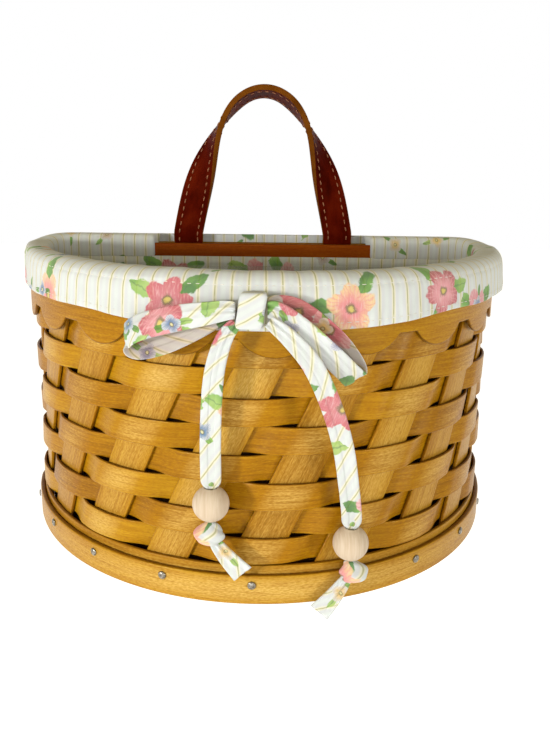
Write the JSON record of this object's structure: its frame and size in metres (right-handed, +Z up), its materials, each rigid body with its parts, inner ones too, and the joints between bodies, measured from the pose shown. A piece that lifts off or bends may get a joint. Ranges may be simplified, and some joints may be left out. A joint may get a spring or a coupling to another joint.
{
  "type": "hanging wall basket",
  "caption": "Half-round splint-woven wall basket with a scalloped rim, a striped cloth liner tied in a bow with beaded tails, a clear insert and a leather hanging strap.",
  "frame": {"origin": "under the crown of the leather strap, where it rests on its peg, midway across the basket", "axes": "+X to the right seen from the front, +Y towards the wall, +Z up; the round front faces -Y"},
  "size_m": [0.2571, 0.1604, 0.2278],
  "materials": {
    "maple": "satin lacquer",
    "leather": "smooth, stitched",
    "cloth": "woven cotton, striped",
    "steel": "dull",
    "bare_wood": "unfinished",
    "clear_plastic": "clear gloss"
  },
  "bodies": {
    "basket": {"base_board": "maple", "base_filler": "maple", "base_band": "maple", "stake_01": "maple", "stake_02": "maple", "stake_03": "maple", "stake_04": "maple", "stake_05": "maple", "stake_06": "maple", "stake_07": "maple", "stake_08": "maple", "stake_09": "maple", "stake_10": "maple", "stake_11": "maple", "stake_12": "maple", "stake_13": "maple", "stake_14": "maple", "stake_15": "maple", "stake_16": "maple", "weaver_01": "maple", "weaver_02": "maple", "weaver_03": "maple", "weaver_04": "maple", "weaver_05": "maple", "weaver_06": "maple", "weaver_07": "maple", "weaver_08": "maple", "rim_scallops": "maple", "rim_inner_band": "maple", "tack_01": "steel", "tack_02": "steel", "tack_03": "steel", "tack_04": "steel", "tack_05": "steel", "tack_06": "steel", "tack_07": "steel", "tack_14": "steel", "tack_15": "steel", "tack_16": "steel", "strap_tab_left": "leather", "strap_tab_right": "leather", "liner_floor": "cloth", "liner_wall": "cloth", "liner_cuff": "cloth", "clear_insert": "clear_plastic", "bow_knot": "cloth", "bow_loop_left": "cloth", "bow_loop_right": "cloth"},
    "handle": {"strap_arch": "leather"},
    "left_tail": {"tail_left": "cloth", "end_knot_left": "cloth"},
    "right_tail": {"tail_right": "cloth", "end_knot_right": "cloth"},
    "left_bead": {"bead_left": "bare_wood"},
    "right_bead": {"bead_right": "bare_wood"}
  },
  "joints": [
    {"name": "strap_fold", "type": "hinge", "parent": "basket", "child": "handle", "pos_m": [0, 0.0012, -0.0767], "axis": [1, 0, 0], "range_deg": [0, 80]},
    {"name": "left_tail_swing", "type": "hinge", "parent": "basket", "child": "left_tail", "pos_m": [-0.01196, -0.14507, -0.0981], "axis": [-1, 0, 0], "range_deg": [0, 45]},
    {"name": "right_tail_swing", "type": "hinge", "parent": "basket", "child": "right_tail", "pos_m": [-0.00071, -0.14945, -0.0938], "axis": [-1, 0, 0], "range_deg": [0, 45]},
    {"name": "left_bead_slide", "type": "slide", "parent": "left_tail", "child": "left_bead", "axis": [0, 0, 1], "range_m": [0, 0.02], "deforming": ["tail_left"]},
    {"name": "right_bead_slide", "type": "slide", "parent": "right_tail", "child": "right_bead", "axis": [-0.0483, -0.0681, 0.9965], "range_m": [0, 0.02], "deforming": ["tail_right"]}
  ]
}
